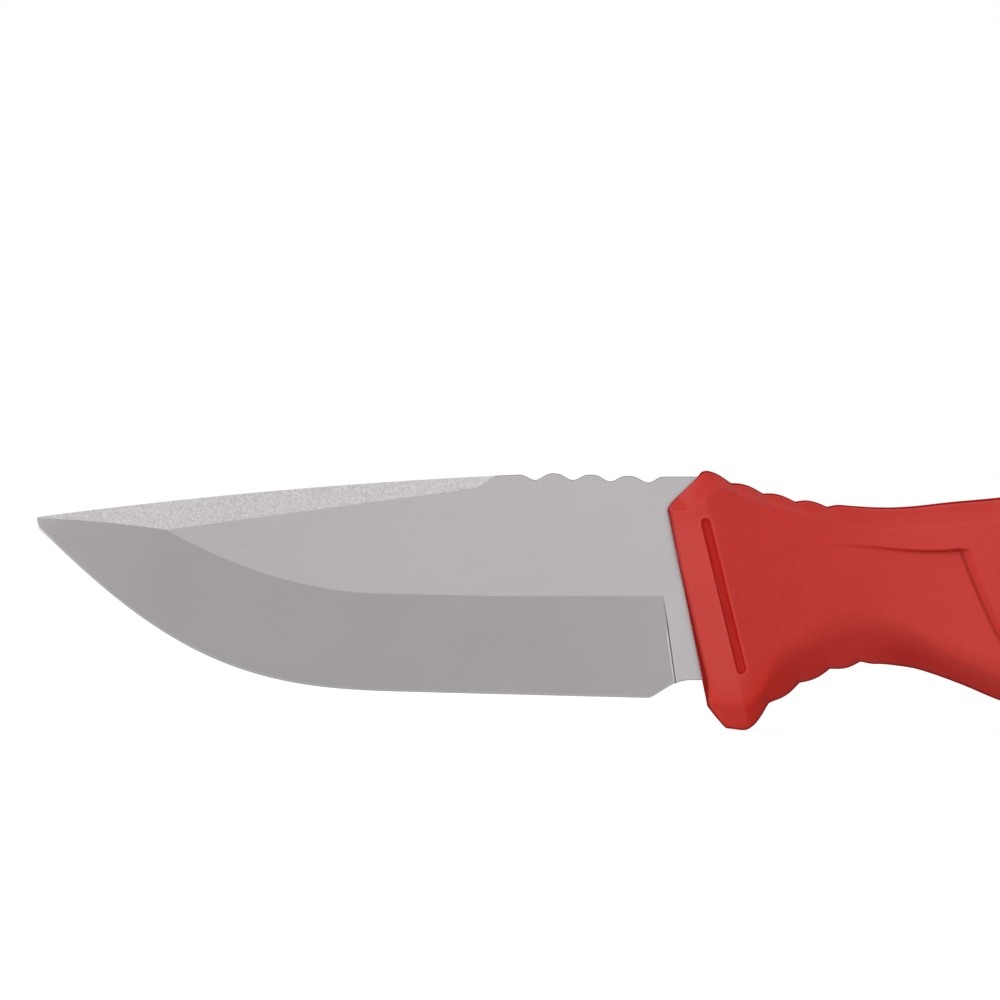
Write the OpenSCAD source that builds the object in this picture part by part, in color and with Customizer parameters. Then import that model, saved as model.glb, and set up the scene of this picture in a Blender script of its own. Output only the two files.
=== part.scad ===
// Rigging knife with a fixed blade, a hidden tang and a moulded grip.
//
// The origin is on the blade's middle plane, where the guard's front face crosses
// the handle's axis. +X points to the butt, so the tip is at the -X end. +Z points
// from the cutting edge to the spine. Y is the thickness: -Y is the knife's left.
// All sizes are in millimetres.

/* [Blade] */
// Distance from the guard's front face to the tip, along the handle's axis
blade_length = 97.2; // [92:0.2:104]
// Thickness of the steel
blade_thickness = 3; // [2.6:0.1:3.4]
// Height of the tip above the handle's axis
tip_height = 10.75; // [10:0.05:11.2]
// Height of the spine where it enters the guard
spine_height = 17; // [16.6:0.1:17.2]
// Depth of the cutting edge below the handle's axis, at the heel
edge_drop = 16.35; // [15.4:0.05:17]
// Depth of the flat grind's upper line below the handle's axis
grind_drop = 0.9; // [0:0.1:2.5]
// Number of thumb notches on the spine
spine_notches = 4; // [2:1:4]
// Distance from one thumb notch to the next
spine_notch_pitch = 5.6; // [5:0.05:5.8]
// Depth of the thumb notches on the spine
spine_notch_depth = 0.9; // [0.4:0.05:1.2]
// Angle by which the false edge leans in from the flat
false_edge_angle = 13.5; // [9:0.5:14]

/* [Tang] */
// Distance from the guard's front face to the tang's rounded end
tang_length = 86; // [80:1:90]
// Height of the tang behind the blade's shoulders
tang_height = 15; // [13:0.5:16]
// Height of the tang at its end
tang_end_height = 9; // [8:0.5:11]
// Distance of the blade's shoulders behind the guard's front face
shoulder_depth = 6; // [5.5:0.1:6.2]

/* [Handle] */
// Distance from the guard's front face to the butt
handle_length = 116; // [114:1:119]
// Lean of the guard's front face from upright, in degrees
guard_tilt = 11.2; // [10:0.1:12]
// Half of the grip's greatest thickness
palm_half_width = 11.8; // [11:0.1:13]
// Squareness of the grip's section: 2 is an ellipse, more is squarer
section_power = 3.4; // [3:0.1:4.5]
// Radius that rounds the butt off
butt_rounding = 5; // [4:0.5:6]
// Lean of the butt from upright, in degrees
butt_tilt = 8; // [0:1:10]
// Depth of the thumb and finger notches in the grip
grip_notch_depth = 0.55; // [0.3:0.05:0.8]
// Depth of the step at the front of the palm swell
palm_step_depth = 1; // [0.4:0.1:1.2]

/* [Guard slot] */
// Length of the slot along the guard, on each side
slot_length = 23.9; // [20:0.1:25]
// Width of the slot
slot_width = 1.3; // [0.8:0.05:1.5]
// Depth of the slot
slot_depth = 0.75; // [0.3:0.05:1.1]
// Distance of the slot's centre behind the guard's front face
slot_setback = 5.3; // [4.6:0.1:5.8]
// Lean of the slot from upright, in degrees
slot_tilt = 14.2; // [11:0.1:16]

/* [Core and rivets] */
// Half of the thickness of the two core halves together
core_half_width = 5.5; // [5:0.1:6]
// Wall of the grip above and below the core
core_cover = 4.2; // [3.8:0.1:4.8]
// Radius of the rivet shanks
rivet_radius = 2; // [1.5:0.1:2.4]
// Radius of the rivet heads
rivet_head_radius = 3.4; // [3:0.1:3.8]
// Thickness of the rivet heads
rivet_head_height = 1; // [0.6:0.1:1.4]

/* [Lanyard eye] */
// Distance of the eye behind the guard's front face
eye_x = 104; // [102:0.5:105]
// Height of the eye's centre, which is below the handle's axis
eye_z = -2.4; // [-3.4:0.2:-1.4]
// Radius of the hole that the lanyard passes through
eye_radius = 3; // [2.6:0.1:3.2]
// Wall of the steel sleeve
sleeve_wall = 0.7; // [0.5:0.1:0.9]
// Radius of the sleeve's flange and of the washer
flange_radius = 5.4; // [5:0.1:5.8]
// Thickness of the flange and of the washer
flange_height = 0.8; // [0.6:0.1:1]
// Distance of the flange's and the washer's seats from the middle plane
eye_seat = 9; // [8.6:0.1:9.2]

/* [Hidden] */

steel = [0.71, 0.69, 0.68];
grip_red = [0.75, 0.21, 0.18];
nylon_black = [0.13, 0.13, 0.14];
round_sides = 64;
far = 80;                     // reaches past the knife's outline from any cut
guard_lean = tan(guard_tilt);

// ---- Helpers ----

// How far x is along the way from a to b, held between 0 and 1.
function share(x, a, b) = min(1, max(0, (x - a) / (b - a)));

// A smooth step from 0 at a to 1 at b.
function ease(x, a, b) = let (t = share(x, a, b)) t * t * (3 - 2 * t);

// The slope of a smooth curve at one of its [x, value] keys.
function key_slope(keys, i) =
    let (before = keys[max(0, i - 1)], after = keys[min(len(keys) - 1, i + 1)])
    (after[1] - before[1]) / (after[0] - before[0]);

// The stretch between two keys that x falls in.
function stretch(keys, x, i = 0) =
    i >= len(keys) - 2 || x < keys[i + 1][0] ? i : stretch(keys, x, i + 1);

// A smooth curve through [x, value] keys.
function curve(keys, x) =
    let (
        i = stretch(keys, x),
        step = keys[i + 1][0] - keys[i][0],
        t = (x - keys[i][0]) / step,
        rise = step * key_slope(keys, i) * t * pow(1 - t, 2),
        settle = step * key_slope(keys, i + 1) * t * t * (t - 1)
    )
    keys[i][1] + (keys[i + 1][1] - keys[i][1]) * t * t * (3 - 2 * t) + rise + settle;

// A closed skin over rings of points, each with the same number of points, which
// run counter-clockwise when seen from the last ring's side.
module skin(rings) {
    count = len(rings[0]);
    last = len(rings) - 1;
    polyhedron(
        points = [for (ring = rings) each ring],
        faces = concat(
            [[for (i = [0:count - 1]) i]],
            [[for (i = [0:count - 1]) last * count + count - 1 - i]],
            [
                for (j = [0:last - 1], i = [0:count - 1])
                let (a = j * count + i, b = j * count + (i + 1) % count)
                each [[a, a + count, b + count], [a, b + count, b]]
            ]
        )
    );
}

// Stretches a drawing of the knife's side view evenly to both sides of a distance y.
module side_plate(thickness, y = 0) {
    translate([0, y + thickness / 2, 0]) rotate([90, 0, 0])
        linear_extrude(thickness) children();
}

// A round bar across the knife.
module cross_bar(x, z, radius, thickness, y = 0) {
    side_plate(thickness, y) translate([x, z]) circle(radius, $fn = round_sides);
}

// Everything ahead of a plane that lies parallel to the guard's front face.
module ahead_of(depth) {
    side_plate(far) polygon([
        [depth + far * guard_lean, -far], [depth - far * guard_lean, far],
        [-2 * far, far], [-2 * far, -far]
    ]);
}

// ---- Blade ----

tip_x = -blade_length;
half_steel = blade_thickness / 2;
tip_spine_rise = 0.2;         // the spine ends this far above the tip's height
tip_edge_fall = 1.24;         // and the cutting edge this far below it
tip_rounding = 0.35;
spine_bend_x = -20;           // the spine starts to drop to the tip here
spine_bend_height = spine_height + 0.5;
spine_slope = 0.038;
spine_level_x = -6;           // and it is level behind here
last_spine_notch_x = -5.65;
spine_notch_power = 1.55;     // above 1, the lands are wider than the notches
spine_chamfer = 0.15;         // the spine's edges are broken by this much
belly_x = -41;                // the cutting edge starts to curve up here
edge_slope = 0.0258;
belly_power = 2.95;
belly_end_power = 6;          // the second power straightens the curve near the tip
belly_end_share = 0.227;
grind_slope_x = -28;          // the grind's upper line starts to rise here
grind_slope = 0.022;
grind_bend_x = -46;           // and to curve up here
grind_power = 1.95;
meet_x = -77.8;               // the grind and the false edge meet here
meet_height = 9.05;
ridge_power = 1.6;
false_edge_slope = 0.1345;
false_edge_end_x = -27.8;     // the false edge curls up to the spine by here
false_edge_curl = 4;
edge_half_width = 0.12;
plunge_x = -3.4;              // the grind's upper line ends here
plunge_lean = 0.14;
plunge_width = 0.3;
plunge_blend = 9;
heel_x = -5.7;                // the choil runs from here
choil_end_x = 0.7;
choil_power = 1.3;
ricasso_bottom = -13.5;

function plain_spine(x) =
    let (
        reach = spine_bend_x - tip_x,
        ahead = max(0, spine_bend_x - x),
        drop = spine_bend_height - tip_height - tip_spine_rise - spine_slope * reach,
        level = spine_bend_height
            - (spine_bend_height - spine_height) * share(x, spine_bend_x, spine_level_x)
    )
    level - spine_slope * ahead - drop * pow(ahead / reach, 2);

// The thumb notches are a power of one cosine wave over the notched stretch.
function spine(x) =
    let (
        turns = (x - last_spine_notch_x) / spine_notch_pitch,
        notched = turns > 0.5 - spine_notches && turns < 0.5,
        wave = pow((1 + cos(360 * turns)) / 2, spine_notch_power)
    )
    plain_spine(x) - (notched ? spine_notch_depth * wave : 0);

// The cutting edge as it would be with no choil.
function full_edge(x) =
    let (
        bend = share(-x, -belly_x, blade_length),
        line = -edge_drop + edge_slope * -x,
        tip_line = -edge_drop + edge_slope * blade_length,
        rise = (1 + belly_end_share) * pow(bend, belly_power)
            - belly_end_share * pow(bend, belly_end_power)
    )
    line + (tip_height - tip_edge_fall - tip_line) * rise;

function bottom(x) =
    let (t = share(x, heel_x, choil_end_x), cut = pow(1 - pow(t, choil_power), 2))
    x < heel_x ? full_edge(x) : ricasso_bottom + (full_edge(heel_x) - ricasso_bottom) * cut;

// The ridge line where the grind and the false edge meet, near the tip.
function ridge(x) =
    let (t = share(-x, -meet_x, blade_length))
    meet_height + (tip_height - meet_height) * (1 - pow(1 - t, ridge_power));

function grind_line(x) =
    let (
        line = -grind_drop + grind_slope * max(0, grind_slope_x - x),
        meet_line = -grind_drop + grind_slope * (grind_slope_x - meet_x),
        bend = share(-x, -grind_bend_x, -meet_x)
    )
    x < meet_x ? ridge(x) - edge_half_width / 2 :
    line + (meet_height - meet_line) * pow(bend, grind_power);

function false_edge_line(x) =
    let (
        line = meet_height + false_edge_slope * (x - meet_x),
        curl = ease(x, false_edge_end_x - false_edge_curl, false_edge_end_x)
    )
    x < meet_x ? ridge(x) + edge_half_width / 2 :
    line + (spine(x) - spine_chamfer - line) * curl;

// Half of the thickness at the flat or, near the tip, at the ridge.
function flat_half(x) =
    edge_half_width + (half_steel - edge_half_width) * share(x, tip_x, meet_x);

// Half of the thickness left at the spine by the false edge.
function spine_half(x, top, line) =
    max(
        edge_half_width / 2,
        flat_half(x) - max(spine_chamfer * share(x, tip_x, meet_x), (top - line) * tan(false_edge_angle))
    );

// The lean of a section: sections are upright along the blade, and then turn until
// the last one lies in the plane of the shoulders.
function section_lean(x) =
    plunge_lean * ease(x, plunge_x - plunge_blend, plunge_x)
    + (guard_lean - plunge_lean) * share(x, plunge_x, shoulder_x);

shoulder_x = shoulder_depth + grind_drop * guard_lean;

function leaned(x, lean, z) = x - lean * (z + grind_drop);

function blade_section(x) =
    let (
        lean = section_lean(x),
        top_x = leaned(x, lean, spine_height),
        low_x = leaned(x, lean, ricasso_bottom),
        full = x > plunge_x,
        tip = x == tip_x,
        top = tip ? tip_height + edge_half_width : spine(top_x),
        line = tip ? tip_height + edge_half_width / 2 : false_edge_line(top_x),
        low = tip ? tip_height - edge_half_width : bottom(low_x),
        grind = tip ? tip_height - edge_half_width / 2
            : full ? low + spine_chamfer : grind_line(x),
        flat = flat_half(x),
        cut_share = share(low, full_edge(low_x), grind),
        low_half = full ? flat - spine_chamfer
            : edge_half_width / 2 + (flat - edge_half_width / 2) * cut_share,
        half = [
            [low_half, low], [flat, grind], [flat, line], [spine_half(x, top, line), top]
        ]
    )
    [
        for (p = half) [leaned(x, lean, p[1]), p[0], p[1]],
        for (i = [3:-1:0]) [leaned(x, lean, half[i][1]), -half[i][0], half[i][1]]
    ];

// Distances between sections: along the belly, along each thumb notch and behind the plunge.
belly_step = 1.4;
notch_step = spine_notch_pitch / 12;
plunge_step = 0.45;
curl_x = false_edge_end_x - false_edge_curl;

blade_steps = concat(
    [tip_x, tip_x + tip_rounding],
    [for (x = [tip_x + belly_step:belly_step:curl_x]) x],
    [for (x = [curl_x + notch_step:notch_step:plunge_x - notch_step / 4]) x],
    [plunge_x],
    [for (x = [plunge_x + plunge_width:plunge_step:plunge_x + 5.5 * plunge_step]) x],
    [shoulder_x]
);

tang_end_radius = tang_end_height / 2;
tang_front_z = 0.5;           // height of the tang's middle line at the shoulders
tang_end_z = -2;              // and at its end
tang_overlap = 2;             // the tang's outline starts inside the blade's root
tang_foot_setback = 3;        // and its lower corner starts further back

module tang_outline() {
    front = shoulder_depth - tang_overlap;
    end = tang_length - tang_end_radius;
    polygon([
        [front, tang_front_z + tang_height / 2], [end, tang_end_z + tang_end_radius],
        [end, tang_end_z - tang_end_radius],
        [front + tang_foot_setback, tang_front_z - tang_height / 2]
    ]);
    translate([end, tang_end_z]) circle(tang_end_radius, $fn = round_sides);
}

rivet_places = [[22, 0], [46, -0.8], [72, -1.6]];

module blade() {
    color(steel) difference() {
        union() {
            skin([for (x = blade_steps) blade_section(x)]);
            side_plate(blade_thickness) tang_outline();
        }
        for (place = rivet_places)
            cross_bar(place[0], place[1], rivet_radius, far);
    }
}

// ---- Handle outline ----

top_keys = [
    [-8, 17.9], [3.15, 17.9], [4.4, 17.6], [6.75, 16.6], [9.2, 15.75], [13.95, 14.35],
    [18.7, 13.4], [24, 12.72], [29.5, 12.4], [33.75, 12.55], [39.75, 13.2], [46.75, 13.85],
    [56, 15], [66, 15.6], [80, 15], [94, 13.2], [106, 12], [120, 11]
];
bottom_keys = [
    [-8, -20.6], [6.5, -20.7], [9, -21], [10.2, -20.35], [11.4, -19.05], [12.7, -17.5],
    [14.9, -15.95], [19.5, -13.3], [24.2, -11.7], [28.5, -11.1], [31.75, -11.35],
    [35.25, -12], [41.25, -14.1], [46.75, -16.4], [54, -18.8], [61, -19.6], [72, -18.9],
    [84, -16.6], [94, -15.2], [103, -15.8], [110, -17.6], [120, -19]
];
drawn_half_width = 11.8;      // the half thickness that width_keys are drawn for
width_keys = [
    [-8, 9.6], [0, 10.2], [5, 10.75], [8, 10.45], [13, 9.8], [17, 9.5], [27, 9.3],
    [38, 10.1], [50, 11.3], [64, 11.8], [80, 11.4], [95, 10.3], [107, 10.1], [120, 10.3]
];
top_notch_x = 6.75;
top_notch_pitch = 4.8;
bottom_notch_x = 12.7;
bottom_notch_pitch = 4.58;
grip_notches = 4;

// How much of a notch's depth is cut at x: round lands with a sharp valley between.
function grip_notch(x, first, pitch) =
    let (turns = (x - first) / pitch, last = grip_notches - 1)
    turns < -0.5 || turns > last + 0.5 ? 0 : 1 - abs(sin(180 * turns));

function handle_top(x) =
    curve(top_keys, x) - grip_notch_depth * grip_notch(x, top_notch_x, top_notch_pitch);

function handle_bottom(x) =
    curve(bottom_keys, x)
    + grip_notch_depth * grip_notch(x, bottom_notch_x, bottom_notch_pitch);

function handle_half_width(x) = curve(width_keys, x) * palm_half_width / drawn_half_width;

// ---- Grip ----

ring_points = 32;
butt_start_x = handle_length - butt_rounding;
butt_lean_start_x = 90;
upper_corner = [-2.4, 12.2];  // the upper guard's facet runs from here
upper_peak = [2.25, 17.7];
lower_corner = [3.35, -17.7]; // the lower guard's facet runs from here
lower_foot = [5.95, -20.7];
slot_centre_z = -0.8;
palm_step_corner = [40.9, 6.2];
palm_step_lean = 0.42;
palm_step_rise = 0.8;         // the step's upper line rises this much towards the guard
palm_step_start_x = 20;       // the finger area starts to fall below the grip's side here
palm_step_margin = 4;         // the cut starts this far ahead of it, in the air
palm_step_reach = 14;         // and ends this far behind the step

function signed_power(v, power) = sign(v) * pow(abs(v), power);

// A grip section: a squared ellipse, drawn in all round where the butt is rounded.
function grip_section(x) =
    let (
        into = max(0, x - butt_start_x),
        inset = butt_rounding - sqrt(max(0, pow(butt_rounding, 2) - pow(into, 2))),
        top = handle_top(x) - inset,
        low = handle_bottom(x) + inset,
        half_width = handle_half_width(x) - inset,
        lean = tan(butt_tilt) * ease(x, butt_lean_start_x, handle_length)
    )
    [
        for (i = [0:ring_points - 1])
        let (
            a = 360 * (i + 0.5) / ring_points,
            y = half_width * signed_power(cos(a), 2 / section_power),
            z = (top + low) / 2 + (top - low) / 2 * signed_power(sin(a), 2 / section_power)
        )
        [x - lean * z, y, z]
    ];

// Sections: two in the guard, eight to each thumb notch, then along the palm and round
// the butt.
guard_steps = [-5, 1, 3];
land_step = top_notch_pitch / 8;
first_land_x = top_notch_x - 4 * land_step;
lands_end_x = 28.4;
palm_step_x = 2.2;
butt_turn = 15;

grip_steps = concat(
    guard_steps,
    [for (x = [first_land_x:land_step:lands_end_x]) x],
    [for (x = [lands_end_x + land_step:palm_step_x:butt_start_x - land_step]) x],
    [for (turn = [0:butt_turn:90]) butt_start_x + butt_rounding * sin(turn)]
);

// Everything on the left of a line of the side view that goes from a to b.
module outside_of(a, b) {
    way = (b - a) / norm(b - a);
    out = [-way[1], way[0]];
    side_plate(far) polygon([
        a - way * far, b + way * far, b + way * far + out * far, a - way * far + out * far
    ]);
}

core_butt_wall = 7;
core_step = 3;
core_top_start_x = 1;
core_low_start_x = 8;

module core_outline() {
    last = handle_length - core_butt_wall;
    polygon(concat(
        [for (x = [core_top_start_x:core_step:last]) [x, curve(top_keys, x) - core_cover]],
        [for (x = [last:-core_step:core_low_start_x]) [x, curve(bottom_keys, x) + core_cover]]
    ));
}

module core_space() {
    difference() {
        side_plate(2 * core_half_width) core_outline();
        ahead_of(shoulder_depth);
    }
}

// The space that the blade's root fills between the guard's front and the shoulders.
module blade_root_space() {
    intersection() {
        side_plate(blade_thickness)
            polygon([
                [-far, ricasso_bottom], [far, ricasso_bottom],
                [far, spine_height], [-far, spine_height]
            ]);
        ahead_of(shoulder_depth);
    }
}

// The slot along the guard, cut from outside to slot_depth below the grip's side.
module guard_slot() {
    half = (slot_length - slot_width) / 2;
    floor_y = handle_half_width(slot_setback) - slot_depth;
    centre_x = slot_setback - slot_centre_z * guard_lean;
    side_plate(far / 2, floor_y + far / 4)
        translate([centre_x, slot_centre_z]) rotate(slot_tilt) {
            square([slot_width, 2 * half], center = true);
            for (end = [-half, half])
                translate([0, end]) circle(slot_width / 2, $fn = round_sides);
        }
}

// The shallow wedge that is cut away ahead of the palm swell.
module palm_step() {
    ahead_x = palm_step_start_x - palm_step_margin;
    behind_x = palm_step_corner[0] + palm_step_reach;
    start_y = handle_half_width(palm_step_start_x);
    corner_y = handle_half_width(palm_step_corner[0]) - palm_step_depth;
    slope = (corner_y - start_y) / (palm_step_corner[0] - palm_step_start_x);
    intersection() {
        side_plate(far) polygon([
            [ahead_x, palm_step_corner[1] + palm_step_rise], palm_step_corner,
            palm_step_corner + [far / 2 * palm_step_lean, -far / 2],
            [ahead_x, palm_step_corner[1] - far / 2]
        ]);
        translate([0, 0, -far / 2]) linear_extrude(far) polygon([
            [ahead_x, start_y - slope * palm_step_margin], [ahead_x, far],
            [behind_x, far], [behind_x, start_y + slope * (behind_x - palm_step_start_x)]
        ]);
    }
}

module grip() {
    color(grip_red) difference() {
        skin([for (x = grip_steps) grip_section(x)]);
        ahead_of(0);
        outside_of(upper_corner, upper_peak);
        outside_of(lower_foot, lower_corner);
        core_space();
        blade_root_space();
        for (side = [0, 1]) mirror([0, side, 0]) {
            guard_slot();
            palm_step();
            cross_bar(eye_x, eye_z, flange_radius, far / 2, eye_seat + far / 4);
        }
        cross_bar(eye_x, eye_z, eye_radius + sleeve_wall, far);
    }
}

// ---- Core halves and rivets ----

// The right half of the core. The left half is its mirror image.
module core_half() {
    color(nylon_black) intersection() {
        difference() {
            core_space();
            side_plate(blade_thickness) tang_outline();
            for (place = rivet_places) {
                cross_bar(place[0], place[1], rivet_radius, far);
                cross_bar(
                    place[0], place[1], rivet_head_radius, rivet_head_height,
                    core_half_width - rivet_head_height / 2
                );
            }
            cross_bar(eye_x, eye_z, eye_radius + sleeve_wall, far);
        }
        translate([-far, 0, -far]) cube([3 * far, far, 2 * far]);
    }
}

module core_right() core_half();

module core_left() mirror([0, 1, 0]) core_half();

// A solid rivet with two flat heads that lie flush with the core's sides.
module rivet(place) {
    color(steel) translate([place[0], 0, place[1]]) rotate([90, 0, 0])
        rotate_extrude($fn = round_sides) polygon([
            [0, -core_half_width], [rivet_head_radius, -core_half_width],
            [rivet_head_radius, rivet_head_height - core_half_width],
            [rivet_radius, rivet_head_height - core_half_width],
            [rivet_radius, core_half_width - rivet_head_height],
            [rivet_head_radius, core_half_width - rivet_head_height],
            [rivet_head_radius, core_half_width], [0, core_half_width]
        ]);
}

module front_rivet() rivet(rivet_places[0]);

module middle_rivet() rivet(rivet_places[1]);

module rear_rivet() rivet(rivet_places[2]);

// ---- Lanyard eye ----

rolled_lip = 0.35;            // the sleeve's far end is rolled this far over the washer

// The sleeve, with its flange on the left and its rolled lip on the right.
module lanyard_sleeve() {
    wall = eye_radius + sleeve_wall;
    washer_face = eye_seat + flange_height;
    color(steel) translate([eye_x, 0, eye_z]) rotate([-90, 0, 0])
        rotate_extrude($fn = round_sides) polygon([
            [eye_radius, -washer_face], [flange_radius, -washer_face],
            [flange_radius, -eye_seat], [wall, -eye_seat], [wall, washer_face],
            [wall + sleeve_wall, washer_face],
            [wall + sleeve_wall, washer_face + rolled_lip],
            [eye_radius, washer_face + rolled_lip]
        ]);
}

module lanyard_washer() {
    wall = eye_radius + sleeve_wall;
    color(steel) translate([eye_x, 0, eye_z]) rotate([-90, 0, 0])
        rotate_extrude($fn = round_sides) polygon([
            [wall, eye_seat], [flange_radius, eye_seat],
            [flange_radius, eye_seat + flange_height], [wall, eye_seat + flange_height]
        ]);
}

blade();
core_left();
core_right();
front_rivet();
middle_rivet();
rear_rivet();
grip();
lanyard_sleeve();
lanyard_washer();
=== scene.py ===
"""Looks for the rigging knife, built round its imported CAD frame.

The blade, the grip and the lanyard eye are lofted and turned here as finer meshes
that stand for their CAD nodes. The core halves and the rivets stay as they are in
CAD, inside the grip, with materials of their own. Lengths in the drawing functions
are in millimetres, in the CAD's axes, and become metres in mesh_piece().
"""

import math
from types import SimpleNamespace

import bpy
import numpy as np
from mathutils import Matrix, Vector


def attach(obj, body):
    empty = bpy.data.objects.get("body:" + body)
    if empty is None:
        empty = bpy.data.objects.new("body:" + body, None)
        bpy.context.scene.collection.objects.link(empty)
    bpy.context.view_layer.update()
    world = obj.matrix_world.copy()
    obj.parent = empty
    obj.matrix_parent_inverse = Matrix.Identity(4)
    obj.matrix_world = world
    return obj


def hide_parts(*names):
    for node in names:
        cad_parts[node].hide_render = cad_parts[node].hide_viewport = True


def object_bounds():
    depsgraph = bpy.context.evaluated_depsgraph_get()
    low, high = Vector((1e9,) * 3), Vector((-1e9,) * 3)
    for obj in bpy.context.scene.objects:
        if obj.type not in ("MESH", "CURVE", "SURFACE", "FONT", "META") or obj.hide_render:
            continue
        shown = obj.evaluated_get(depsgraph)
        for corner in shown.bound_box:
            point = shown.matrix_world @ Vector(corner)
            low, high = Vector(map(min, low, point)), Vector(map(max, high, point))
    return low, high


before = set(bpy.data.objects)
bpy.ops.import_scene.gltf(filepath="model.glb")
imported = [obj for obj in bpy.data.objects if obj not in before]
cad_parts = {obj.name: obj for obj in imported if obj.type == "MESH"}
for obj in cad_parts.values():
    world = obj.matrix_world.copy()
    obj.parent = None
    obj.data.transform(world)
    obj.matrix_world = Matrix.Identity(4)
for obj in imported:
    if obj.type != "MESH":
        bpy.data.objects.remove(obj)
cad_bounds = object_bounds()

MM = 0.001
BODY = "root"
GUARD_LEAN = math.tan(math.radians(11.2))


# ------------------------------------------------ helpers

def share(x, a, b):
    """How far x is along the way from a to b, held between 0 and 1."""
    return np.clip((x - a) / (b - a), 0.0, 1.0)


def ease(x, a, b):
    """A smooth step from 0 at a to 1 at b."""
    t = share(x, a, b)
    return t * t * (3 - 2 * t)


def bell(x, width):
    """A smooth bump, which is 1 where x is 0 and nearly nothing two widths away."""
    return np.exp(-(x / width) ** 2)


def curve(keys, x):
    """A smooth curve through (x, value) keys."""
    at, value = np.array(keys, float).T
    x = np.asarray(x, float)
    slope = np.gradient(value, at)
    slope[1:-1] = (value[2:] - value[:-2]) / (at[2:] - at[:-2])
    i = np.clip(np.searchsorted(at, x, side="right") - 1, 0, len(at) - 2)
    step = at[i + 1] - at[i]
    t = np.clip((x - at[i]) / step, 0, 1)
    rise = step * slope[i] * t * (1 - t) ** 2
    settle = step * slope[i + 1] * t * t * (t - 1)
    return value[i] + (value[i + 1] - value[i]) * t * t * (3 - 2 * t) + rise + settle


def mesh_piece(name, points, faces, materials, face_materials=None):
    """A mesh object from points in millimetres."""
    mesh = bpy.data.meshes.new(name)
    mesh.from_pydata((np.asarray(points) * MM).tolist(), [], faces)
    for material in materials:
        mesh.materials.append(material)
    if face_materials is not None:
        mesh.polygons.foreach_set("material_index", np.asarray(face_materials, np.int32))
    mesh.polygons.foreach_set("use_smooth", np.ones(len(mesh.polygons), bool))
    mesh.validate()
    mesh.update()
    piece = bpy.data.objects.new(name, mesh)
    bpy.context.scene.collection.objects.link(piece)
    return piece


def skin(rings):
    """Points and faces of a closed skin over rings, which is an array of shape
    (rings, points in a ring, 3), with each ring counter-clockwise seen from its +X side."""
    count, size = rings.shape[:2]
    points = rings.reshape(-1, 3)
    base = np.arange(count - 1)[:, None] * size
    here = np.arange(size)
    after = (here + 1) % size
    quads = np.stack(
        [base + here, base + after, base + size + after, base + size + here], axis=-1
    ).reshape(-1, 4)
    ends = [list(range(size))[::-1], [(count - 1) * size + i for i in range(size)]]
    return points, quads.tolist() + ends


def side_prism(name, outline, y_low, y_high):
    """A prism with the given (x, z) outline, which runs counter-clockwise, from y_low to y_high."""
    size = len(outline)
    points = [(x, y_high, z) for x, z in outline] + [(x, y_low, z) for x, z in outline]
    faces = [[(i + 1) % size, i, i + size, (i + 1) % size + size] for i in range(size)]
    faces += [list(range(size)), list(range(2 * size - 1, size - 1, -1))]
    return mesh_piece(name, points, [face[::-1] for face in faces], [])


def turned(name, profile, centre, materials, sides=96):
    """A turned piece about a line along Y through centre, from a closed (radius, y) profile."""
    angles = 2 * math.pi * np.arange(sides) / sides
    profile = np.array(profile, float)
    radius, y = profile.T
    points = np.stack([
        centre[0] + radius[None, :] * np.cos(angles)[:, None],
        np.broadcast_to(y, (sides, len(y))),
        centre[1] + radius[None, :] * np.sin(angles)[:, None],
    ], axis=-1).reshape(-1, 3)
    size = len(profile)
    faces = []
    for i in range(sides):
        for j in range(size):
            here, along = i * size, ((i + 1) % sides) * size
            nxt = (j + 1) % size
            faces.append([here + j, here + nxt, along + nxt, along + j])
    return mesh_piece(name, points, faces, materials)


def cut(piece, cutter, operation="DIFFERENCE"):
    """Cuts cutter out of piece, or joins it, and removes cutter."""
    modifier = piece.modifiers.new("cut", "BOOLEAN")
    modifier.operation = operation
    modifier.solver = "MANIFOLD"
    modifier.object = cutter
    graph = bpy.context.evaluated_depsgraph_get()
    result = bpy.data.meshes.new_from_object(piece.evaluated_get(graph))
    piece.modifiers.remove(modifier)
    old = piece.data
    piece.data = result
    bpy.data.meshes.remove(old)
    bpy.data.objects.remove(cutter)


# ------------------------------------------------ materials

def connect(tree, value, target):
    """Links a socket to the target, or gives the target a plain value."""
    if isinstance(value, bpy.types.NodeSocket):
        tree.links.new(value, target)
    else:
        target.default_value = value


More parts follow.
